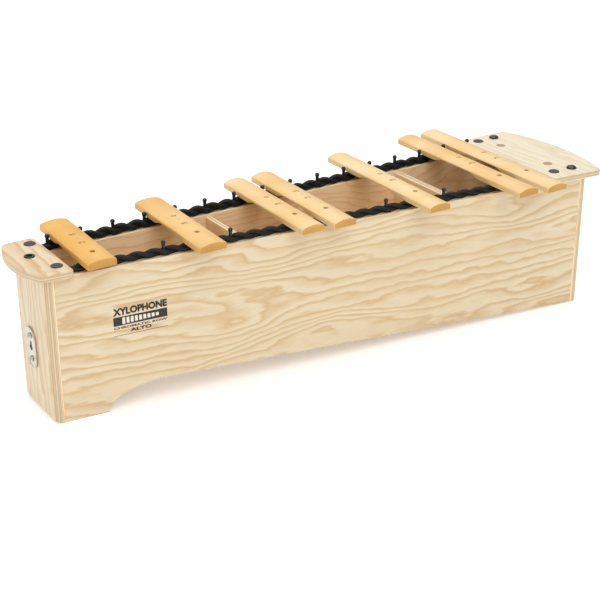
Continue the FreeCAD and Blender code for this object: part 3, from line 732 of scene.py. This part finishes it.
for make, name, centres, material, slot, node in (
        (button, "rubber_button", LEFT_DISCS + RIGHT_DISCS, rubber, "rubber_discs", "cap_discs"),
        (dome, "stacking_dome", DOMES, dome_plastic, "black_domes", "stacking_domes"),
        (wood_plug, "wood_plug", PLUGS, plug_wood, "beech_plugs", "cap_plugs")):
    for number, centre in enumerate(centres, 1):
        placed(make(f"{name}_{number}", at(centre)), material, stands_for=[node] if number == 1 else ())

ring_out, ring_in = 6.4 * MM, 3.5 * MM
bush = turned("cap_bush", [(ring_in, BASE), (ring_out, BASE), (ring_out, TOP + 0.4 * MM),
                           *arc(ring_out - 0.8 * MM, TOP + 0.4 * MM, 0.8 * MM, 15, 90, 4),
                           *arc(ring_in + 0.5 * MM, TOP + 0.7 * MM, 0.5 * MM, 90, 180, 4),
                           (ring_in, BASE)], at(RING), ROUND_STEPS)
placed(bush, ring_plastic, stands_for=["cap_ring"])


def screw(name, head, head_low, head_high, shank, shank_low, centre=(0, 0)):
    """A pan screw with a cross cut in its head."""
    tall = head_high - head_low
    profile = [(0, shank_low), (shank * 0.5, shank_low + 1.2 * MM), (shank, shank_low + 3 * MM), (shank, head_low),
               (head, head_low), (head, head_low + 0.4 * tall),
               *[(head * math.cos(t), head_low + 0.4 * tall + 0.6 * tall * math.sin(t)) for t in (0.5, 0.9, 1.25)],
               (0, head_high)]
    part = turned(name, profile, centre, 28)
    arms = []
    for turn in (0, 90):
        arm = block("arm", (-head * 0.55, -head * 0.13, head_high - 0.45 * tall),
                    (head * 0.55, head * 0.13, head_high + 1 * MM))
        arm.data.transform(Matrix.Translation((centre[0], centre[1], 0)) @ Matrix.Rotation(
            math.radians(turn + 28), 4, "Z"))
        arms.append(arm)
    carve(part, arms)
    return part


cap_screw = screw("cap_bush_screw", 3.4 * MM, BASE, SEAT_FLOOR + 2.6 * MM, 1.9 * MM, 165.1 * MM, at(RING))
placed(cap_screw, zinc, stands_for=["cap_screw"])
print("cap fittings: 10")

# %% [markdown]
# ## The hanger plate
# A pressed steel plate on the treble end, with a keyhole, couples this box to its neighbour. A disc is parted at its
# middle and drawn out to a long round-ended plate; its face is inset and sunk, so the rim stands up. The keyhole is
# a bore and a slot cut through it.

# %% Plate, keyhole and two screws
PLATE_WIDTH = plate_high.y - plate_low.y
PLATE_LONG = plate_high.z - plate_low.z
PLATE_THICK = plate_high.x - plate_low.x
nothing()
bpy.ops.mesh.primitive_cylinder_add(vertices=64, radius=PLATE_WIDTH / 2, depth=PLATE_THICK,
                                    location=((plate_low.x + plate_high.x) / 2, PLATE_Y, PLATE_Z),
                                    rotation=(0, math.radians(90), 0))
plate = settle(bpy.context.object, "hanger_plate_pressed")
edit(plate)
whole()
EDIT.bisect(plane_co=(0, 0, PLATE_Z), plane_no=(0, 0, 1))
leave()
stretch = (PLATE_LONG - PLATE_WIDTH) / 2
for vertex in plate.data.vertices:
    away = vertex.co.z - PLATE_Z
    if abs(away) > 1e-6:
        vertex.co.z += math.copysign(stretch, away)
pick(plate, "FACE", lambda f: f.normal.x < -0.9)
EDIT.dissolve_faces()
EDIT.inset(thickness=1.0 * MM, depth=0)
EDIT.inset(thickness=1.6 * MM, depth=-0.9 * MM)
leave()
ease(plate, 0.45 * MM, 4, 25)
hole = rod("hole", 4 * MM, -6 * MM, 6 * MM, (0, 0))
slot_cut = block("slot", (-2.2 * MM, 0, -6 * MM), (2.2 * MM, 8 * MM, 6 * MM))
for cutter in (hole, slot_cut):
    cutter.data.transform(Matrix.Translation((plate_low.x, PLATE_Y, PLATE_Z)) @ Matrix.Rotation(
        math.radians(90), 4, "X") @ Matrix.Rotation(math.radians(90), 4, "Y"))
carve(plate, [hole, slot_cut])
placed(plate, nickel, stands_for=["hanger_plate"])

for number, shift in enumerate((15 * MM, -15 * MM), 1):
    part = screw(f"plate_screw_{number}", 3.7 * MM, 1.7 * MM, 4.3 * MM, 1.4 * MM, -8.5 * MM)
    part.data.transform(Matrix.Translation((BOX_LEFT, PLATE_Y, PLATE_Z + shift)) @ Matrix.Rotation(
        math.radians(-90), 4, "Y"))
    placed(part, zinc, stands_for=["plate_screws"] if number == 1 else ())
print("plate:", [round(v * 1000, 1) for v in (PLATE_WIDTH, PLATE_LONG, PLATE_THICK)])

# %% [markdown]
# ## The twisted cords
# Two strands twist round each other along each wall, and open into a small eye at every peg. The bars rest on the
# crests. A strand is a curve swept by a ribbed section, and the section turns as it goes, as yarns do in a rope.
# So the ribs are real relief, and catch the light along the cord. The back cord is then drawn up, as it is fuller.

# %% Strands swept along helices
STRAND = 3.0 * MM
HELIX = 2.3 * MM
EYE = 1.3 * MM
SAG = 1.0 * MM
CORD_REST = 0.8 * MM
YARNS = 7
RIB = 0.16 * MM
STEP = 1.2 * MM
LAY = 26 * MM
EYE_REACH = 5.0 * MM
CAP_TUCK, TUCK_DROP = 14 * MM, 0.9 * MM
LIFT_RUN = 12 * MM


def strand(name, start_x, stop_x, y_at, pegs, half_turn):
    """One strand along a line of pegs; the second strand is half a turn behind the first."""
    count = round((stop_x - start_x) / STEP)
    points = []
    for index in range(count + 1):
        x = start_x + (stop_x - start_x) * index / count
        turn = 2 * math.pi * (x - pegs[0]) / PITCH + half_turn * math.pi
        near = min(abs(x - peg) for peg in pegs)
        open_eye = EYE * math.exp(-(near / EYE_REACH) ** 2)
        inward = min(1.0, min(x - start_x, stop_x - x) / CAP_TUCK)
        swing = HELIX * (0.62 + 0.38 * inward)
        drop = CORD_REST + SAG * math.cos(turn) ** 2 + TUCK_DROP * (1 - inward)
        points.append((x, y_at(x) + (swing + open_eye) * math.cos(turn), CORD_AXIS - drop + swing * math.sin(turn)))
    nothing()
    bpy.ops.curve.primitive_bezier_circle_add(radius=STRAND)
    section = bpy.context.object
    bpy.ops.curve.primitive_nurbs_path_add()
    path = bpy.context.object
    path.data.splines.clear()
    spline = path.data.splines.new("POLY")
    spline.points.add(len(points) - 1)
    for index, (point, place) in enumerate(zip(spline.points, points)):
        point.co = (*place, 1)
        point.tilt = 2 * math.pi * index * STEP / LAY
    section.data.splines.clear()
    ring = section.data.splines.new("POLY")
    around = YARNS * 4
    ring.points.add(around - 1)
    for index, point in enumerate(ring.points):
        angle = 2 * math.pi * index / around
        radius = STRAND - RIB + RIB * abs(math.cos(YARNS * angle / 2))
        point.co = (radius * math.cos(angle), radius * math.sin(angle), 0, 1)
    ring.use_cyclic_u = True
    path.data.dimensions = "3D"
    path.data.twist_mode = "Z_UP"
    path.data.bevel_mode = "OBJECT"
    path.data.bevel_object = section
    path.data.use_fill_caps = True
    only(path)
    bpy.ops.object.convert(target="MESH")
    piece = bpy.context.object
    bpy.data.objects.remove(section)
    face_out(piece)
    smooth(piece, 60)
    return settle(piece, name)


cord_black, tree, shader = new_material("twisted_polyester_cord")
place = add(tree, "TexCoord").outputs["Object"]
fuzz = noise(tree, place, 1400.0, 3.0, 0.7)
into(tree, shader, Base_Color=ramp(tree, fuzz, [(0.3, "#040506"), (0.75, "#0D0F12")]),
     Roughness=maths(tree, "MULTIPLY_ADD", fuzz, 0.3, 0.38), Specular_IOR_Level=0.35)
bumped(tree, shader, fuzz, 0.12 * MM)

BACK_PEGS = [peg_x(place) for place in range(BACK_PEG_COUNT)]
FRONT_PEGS = [peg_x(bay + 0.5) for bay in FRONT_PEG_BAYS]
START, STOP = -346.2 * MM, 304.6 * MM
for half in (0, 1):
    back = strand(f"back_cord_strand_{half + 1}", START, STOP, lambda x: BACK_RAIL, BACK_PEGS, half)
    for vertex in back.data.vertices:
        from_cap = min(max(min(vertex.co.x - START, STOP - vertex.co.x) / LIFT_RUN, 0.0), 1.0)
        share = (vertex.co.z - CORD_AXIS + CORD_REST + STRAND + HELIX) / (2 * (STRAND + HELIX))
        vertex.co.z += back_lift(vertex.co.x) * share * from_cap
    placed(back, cord_black, stands_for=["back_cord"] if half == 0 else ())
    ahead = strand(f"front_cord_strand_{half + 1}", START, STOP, lambda x: front_y(x, RAIL_INSET), FRONT_PEGS, half)
    placed(ahead, cord_black, stands_for=["front_cord"] if half == 0 else ())
print("faces in a strand:", len(back.data.polygons))

# %% [markdown]
# ## The pegs
# Nylon-covered pegs stand in the walls. At the back they stand between the bars and end in a ball. At the front
# they pass through the bar's own hole, where there is a bar. One peg of each kind is turned, and then copied along
# its row.

# %% Two kinds of peg, copied along the rows
def peg(name, stem, head, top, collar):
    """A stem up to its collar, and a ball head on top."""
    lower = math.degrees(math.asin(stem / head))
    profile = [(0, PEG_FOOT), (stem, PEG_FOOT), (stem, RAIL_TOP + 1 * MM), (stem, collar),
               *arc(0, top - head, head, -90 + lower, 84, 9), (0, top)]
    return turned(name, profile, (0, 0), 20)


PEG_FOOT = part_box("back_pegs")[0].z
BACK_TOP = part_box("back_pegs")[1].z
FRONT_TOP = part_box("front_pegs")[1].z
first = peg("back_peg", 2.15 * MM, 2.9 * MM, BACK_TOP, BACK_TOP - 5.4 * MM)
pegs = [copied(first, f"back_peg_{number}", (x, BACK_RAIL, 0)) for number, x in enumerate(BACK_PEGS, 1)]
bpy.data.objects.remove(first)
placed(joined(pegs, "back_peg_row"), peg_plastic, stands_for=["back_pegs"])
first = peg("front_peg", 2.1 * MM, 2.8 * MM, FRONT_TOP + 0.9 * MM, FRONT_TOP - 3.4 * MM)
pegs = [copied(first, f"front_peg_{bay}", (*front_peg_at(bay), 0)) for bay in FRONT_PEG_BAYS]
bpy.data.objects.remove(first)
placed(joined(pegs, "front_peg_row"), peg_plastic, stands_for=["front_pegs"])
print("pegs:", BACK_PEG_COUNT, "and", len(FRONT_PEG_BAYS))

# %% [markdown]
# ## The bars
# A bar is pultruded glass fibre in resin: a strip with a crowned top, hollowed underneath to tune it. The block is
# cut lengthwise and crosswise, the top lines are raised to the crown, and the bottom lines to the hollow. Then all
# edges are eased, and the hole for the peg is bored. The two highest bars are wider than the others.
# All of them settle a little way into the soft cords, and their back ends ride up on the fuller back cord.

# %% Bars shaped from blocks
BAR_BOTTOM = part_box("bar_c_sharp_3")[0].z
WIDE_SIDE, SLIM_SIDE = 7.6 * MM, 6.8 * MM
WIDE_CROWN, SLIM_CROWN = 10.8 * MM, 10.6 * MM
WIDE_BARS = ("c_sharp_3", "g_sharp_2")
SETTLED = 1.5 * MM
BAR_HOLE = 3.25 * MM
CROWN_LINES, HOLLOW_LINES = 14, 11
HOLLOW_END, HOLLOW_RISE, HOLLOW_CUT = 0.184, 0.084, 0.19
HOLLOW_DEPTH = {
    "c_sharp_3": 2.5, "g_sharp_2": 4.0, "d_sharp_2": 3.8, "c_sharp_2": 4.2,
    "g_sharp_1": 4.6, "d_sharp_1": 4.8, "c_sharp_1": 4.8,
}


def crown(note, away):
    """Height of a bar's crowned top above its underside, away from its middle line."""
    low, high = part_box("bar_" + note)
    half = (high.x - low.x) / 2
    tall, side = (WIDE_CROWN, WIDE_SIDE) if note in WIDE_BARS else (SLIM_CROWN, SLIM_SIDE)
    rise = tall - side
    radius = (half ** 2 + rise ** 2) / (2 * rise)
    return tall - radius + math.sqrt(radius ** 2 - min(abs(away), half) ** 2)


def hollow(share):
    """0 at the rests, 1 along the middle; share is the distance from the middle over the length."""
    rise = min(max((HOLLOW_END - abs(share)) / HOLLOW_RISE, 0.0), 1.0)
    return rise * rise * (3 - 2 * rise)


def tone_bar(note):
    low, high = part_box("bar_" + note)
    low.z -= SETTLED
    middle, length = (low + high) / 2, high.y - low.y
    width = high.x - low.x
    bar = block(f"bar_{note}_strip", low, (high.x, high.y, low.z + SLIM_SIDE))
    edit(bar)
    for line in range(1, CROWN_LINES):
        whole()
        EDIT.bisect(plane_co=(middle.x + width * (line / CROWN_LINES - 0.5), 0, 0), plane_no=(1, 0, 0))
    for step in range(-HOLLOW_LINES, HOLLOW_LINES + 1):
        whole()
        EDIT.bisect(plane_co=(0, middle.y + length * HOLLOW_CUT * step / HOLLOW_LINES, 0), plane_no=(0, 1, 0))
    leave()
    for vertex in bar.data.vertices:
        if vertex.co.z > low.z + SLIM_SIDE / 2:
            vertex.co.z = low.z + crown(note, vertex.co.x - middle.x)
        else:
            vertex.co.z += HOLLOW_DEPTH[note] * MM * hollow((vertex.co.y - middle.y) / length)
    ease(bar, 0.9 * MM, 3, 24)
    x, y = front_peg_at(BAR_BAYS[note])
    carve(bar, [rod("drill", BAR_HOLE, low.z - 5 * MM, high.z + 5 * MM, (x, y))])
    for vertex in bar.data.vertices:
        vertex.co.z += tilt_at(middle.x, vertex.co.y)
    return bar


def fibreglass(name, light, middle, deep, seed):
    """Pultruded strip: resin colour that drifts, fibre streaks that run the length, and painted shade low on the
    sides.
    """
    material, tree, shader = new_material(name)
    place = add(tree, "TexCoord").outputs["Object"]
    parts = add(tree, "SeparateXYZ", {0: place}).outputs
    high = maths(tree, "MULTIPLY_ADD", parts[2], 700.0, seed)
    streak = noise(tree, drawn_out(tree, (parts[0], 700.0), (parts[1], 14.0), high), 1.0, 3.0, 0.6)
    drift = noise(tree, place, 16.0)
    speck = noise(tree, place, 420.0, 2.0, 0.6)
    shade = ramp(tree, drift, [(0.3, light), (0.5, middle), (0.75, deep)])
    shade = mixed(tree, 1.0, shade, ramp(tree, streak, [(0.25, 0.94), (0.75, 1.03)]), "MULTIPLY")
    # painted shade: the sides darken towards the underside of the bar
    over_base = maths(tree, "SUBTRACT", parts[2], BAR_BOTTOM)
    painted_low_shade = ramp(tree, maths(tree, "DIVIDE", over_base, 11 * MM), [(0.15, 0.86), (0.75, 1.0)])
    shade = mixed(tree, 1.0, shade, painted_low_shade, "MULTIPLY")
    into(tree, shader, Base_Color=shade, Roughness=maths(tree, "MULTIPLY_ADD", speck, 0.2, 0.32),
         Coat_Weight=0.12, Coat_Roughness=0.25)
    bumped(tree, shader, mixed(tree, 0.5, streak, speck), 0.04 * MM)
    return material


amber = fibreglass("pultruded_fibreglass_amber", "#F3D8A6", "#EFCB8F", "#E8BC74", 3.0)
warm_amber = fibreglass("pultruded_fibreglass_warm_amber", "#F2CD8E", "#ECBF75", "#E3AD5A", 6.0)
deep_amber = fibreglass("pultruded_fibreglass_deep_amber", "#EFC274", "#E8B255", "#DEA141", 9.0)
RESINS = {"c_sharp_3": deep_amber, "g_sharp_2": warm_amber}
# painted shade: the upright end faces take a darker, deeper amber than the tops
painted_end_shade = fibreglass("fibreglass_end_painted_shade", "#DDA94F", "#D49C42", "#C78F36", 15.0)
for note in BAR_BAYS:
    bar = tone_bar(note)
    placed(bar, RESINS.get(note, amber), f"{note}_bar", [f"bar_{note}"])
    # the faces at both ends of the bar get the painted shade
    bar.data.materials.append(painted_end_shade)
    ends = [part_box("bar_" + note)[side].y for side in (0, 1)]
    for face in bar.data.polygons:
        if abs(face.normal.y) > 0.75 and min(abs(face.center.y - end) for end in ends) < 1 * MM:
            face.material_index = 1
print("bar faces:", len(bar.data.polygons))

# %% [markdown]
# ## The note names
# Each bar carries its two names, the sharp and the flat, with a dot between. They are stamped small along its
# middle, and face the player behind the row. Letters are drawn as text, turned to a mesh, and laid on the
# crown so that they follow it.

# %% Stamped names on the bars
STAMP_GAP = 13.0 * MM
NAME_FORM = (4.6 * MM, 0.12 * MM, 0.03 * MM)
FLAT_NAMES = {"c": "Db", "g": "Ab", "d": "Eb"}


def lettering(name, words, height, thick, weight=0.0):
    """Flat letters in the x-y plane, centred on the origin."""
    nothing()
    bpy.ops.object.text_add(location=(0, 0, 0))
    letters = bpy.context.object
    letters.data.body = words
    letters.data.size = height / 0.7
    letters.data.extrude = thick / 2
    letters.data.offset = weight
    letters.data.align_x = "CENTER"
    letters.data.resolution_u = 3
    bpy.ops.object.convert(target="MESH")
    letters = bpy.context.object
    face_out(letters)
    low = min(v.co.y for v in letters.data.vertices)
    high = max(v.co.y for v in letters.data.vertices)
    wide = [v.co.x for v in letters.data.vertices]
    letters.data.transform(Matrix.Translation((-(min(wide) + max(wide)) / 2, -(low + high) / 2, 0)))
    return settle(letters, name)


stamp_ink = plain("stamped_brown_ink", "#6E4A22", "#8A6232", 0.55, 600.0)
for note, bay in BAR_BAYS.items():
    low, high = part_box("bar_" + note)
    middle = (low + high) / 2
    marks = [lettering("mark", note[0].upper() + "#", *NAME_FORM),
             rod("mark", 0.7 * MM, -0.06 * MM, 0.06 * MM, (0, 0), 20),
             lettering("mark", FLAT_NAMES[note[0]], *NAME_FORM)]
    for mark, shift in zip(marks, (-STAMP_GAP, 0, STAMP_GAP)):
        mark.data.transform(Matrix.Rotation(math.pi, 4, "Z"))
        for vertex in mark.data.vertices:
            vertex.co.z += BAR_BOTTOM - SETTLED + crown(note, vertex.co.x) + 0.01 * MM
            vertex.co.x += middle.x
            vertex.co.y += middle.y + shift
            vertex.co.z += tilt_at(middle.x, vertex.co.y)
    placed(joined(marks, f"note_names_{note}"), stamp_ink, f"{note}_bar")
print("stamped bars:", len(BAR_BAYS))

# %% [markdown]
# ## The printed label
# A small generic label is printed on the front face. It carries plain words for the instrument: the kind of
# instrument, a band with a row of graduated bars, a small line for the row, and a rule. Each part is a very thin
# raised shape that leans with the tapering face.

# %% Label parts laid on the slanting face
LABEL_LEFT, LABEL_RIGHT = -300.8 * MM, -235.0 * MM
LABEL_MIDDLE = (LABEL_LEFT + LABEL_RIGHT) / 2
INK = 0.12 * MM


def on_face(piece, lift=0.0):
    """Shift a piece modelled against y = 0 so that it lies on the slanting front face."""
    for vertex in piece.data.vertices:
        vertex.co.y += front_y(vertex.co.x) - lift
    return piece


def label_words(words, height, middle_z, wide, weight):
    """Words in one line, squeezed to a width."""
    letters = lettering("words", words, height, INK, weight)
    across = [v.co.x for v in letters.data.vertices]
    squeeze = wide / (max(across) - min(across))
    letters.data.transform(Matrix.Translation((LABEL_MIDDLE, -INK / 2, middle_z)) @ Matrix.Rotation(
        math.radians(90), 4, "X") @ Matrix.Diagonal((squeeze, 1, 1, 1)))
    return on_face(letters)


def label_block(low_x, high_x, low_z, high_z, lift=0.0):
    """A flat printed patch."""
    patch = block("patch", (low_x, -INK, low_z), (high_x, 0, high_z))
    edit(patch)
    whole()
    EDIT.bevel(offset=0.03 * MM, segments=1, affect="EDGES")
    leave()
    return on_face(patch, lift)


black_ink = plain("screen_printed_black_ink", "#1B1813", "#2A261F", 0.5, 500.0)
pale_ink = plain("screen_printed_pale_ink", "#E6DCC6", "#F0E8D6", 0.55, 500.0)
WIDE = LABEL_RIGHT - LABEL_LEFT
dark_parts = [
    label_words("XYLOPHONE", 8.2 * MM, 126.6 * MM, WIDE, 0.6 * MM),
    label_block(LABEL_LEFT, LABEL_RIGHT, 109.0 * MM, 120.0 * MM),
    label_words("CHROMATIC ROW", 2.6 * MM, 106.0 * MM, WIDE, 0.12 * MM),
    label_words("ALTO", 3.9 * MM, 101.0 * MM, 26 * MM, 0.2 * MM),
    label_block(LABEL_LEFT, LABEL_RIGHT, 96.2 * MM, 96.7 * MM),
]
placed(joined(dark_parts, "label_dark_print"), black_ink)
ROW_WIDE, ROW_COUNT, ROW_MIDDLE, ROW_GAP = 46 * MM, 9, 114.5 * MM, 0.8 * MM
graduated = []
for number in range(ROW_COUNT):
    x = LABEL_MIDDLE - ROW_WIDE / 2 + ROW_WIDE * number / ROW_COUNT
    half = (4.2 - 0.26 * number) * MM
    graduated.append(label_block(x + ROW_GAP, x + ROW_WIDE / ROW_COUNT - ROW_GAP, ROW_MIDDLE - half,
                                 ROW_MIDDLE + half, INK * 0.8))
placed(joined(graduated, "label_pale_print"), pale_ink)
print("label width (mm):", round(WIDE * 1000, 1))

# %% [markdown]
# ## The stage
# A white floor and a white sky keep the shadows pale. A large soft light in front and one overhead carry the form,
# a small one lifts the treble end, and the last one evens the floor behind. The camera looks down on the treble end
# with a long lens, so that the box barely narrows with distance.

# %% Floor, light and camera
nothing()
bpy.ops.mesh.primitive_plane_add(size=12, location=(0, 0, 0))
floor = bpy.context.object
floor.name = "floor"
floor_paint, tree, shader = new_material("pale_floor")
into(tree, shader, Base_Color=colour("#FFFFFF"), Roughness=0.9, Emission_Color=colour("#FFFFFF"),
     Emission_Strength=0.24)
floor.data.materials.append(floor_paint)

world = bpy.data.worlds.new("studio")
bpy.context.scene.world = world
world.use_nodes = True
sky = world.node_tree.nodes["Background"].inputs
sky["Color"].default_value = (1.0, 1.0, 1.0, 1)
sky["Strength"].default_value = 0.47


def softbox(name, position, target, size, power):
    """A square soft light that faces its target."""
    data = bpy.data.lights.new(name, "AREA")
    data.size = size
    data.energy = power
    lamp = bpy.data.objects.new(name, data)
    bpy.context.collection.objects.link(lamp)
    lamp.location = position
    lamp.rotation_euler = (Vector(target) - Vector(position)).to_track_quat("-Z", "Y").to_euler()
    return lamp


softbox("key", (-0.5, -1.7, 2.4), (0, 0, 0.1), 2.2, 31)
softbox("over", (0.2, 0.3, 2.4), (0, 0, 0.1), 2.2, 25)
softbox("side", (-2.3, 0.7, 1.3), (-0.3, 0, 0.1), 0.8, 7)
softbox("backdrop", (1.8, 3.4, 2.2), (1.8, 3.6, 0), 3.0, 26)

camera_data = bpy.data.cameras.new("camera")
camera = bpy.data.objects.new("camera", camera_data)
bpy.context.collection.objects.link(camera)
bpy.context.scene.camera = camera
camera_data.lens, camera_data.sensor_width = 80.67, 36
camera_data.shift_x, camera_data.shift_y = -0.0079, -0.026
right = Vector((0.8332, -0.55297, -0.00183)).normalized()
forward = Vector((0.50327, 0.75969, -0.41182)).normalized()
up = right.cross(forward).normalized()
camera.matrix_world = Matrix((*zip(right, up, -forward, (-0.8847, -1.2941, 0.7901)), (0, 0, 0, 1)))
print("lights:", [lamp.name for lamp in bpy.data.lights])
bpy.context.scene.view_settings.view_transform = "Standard"
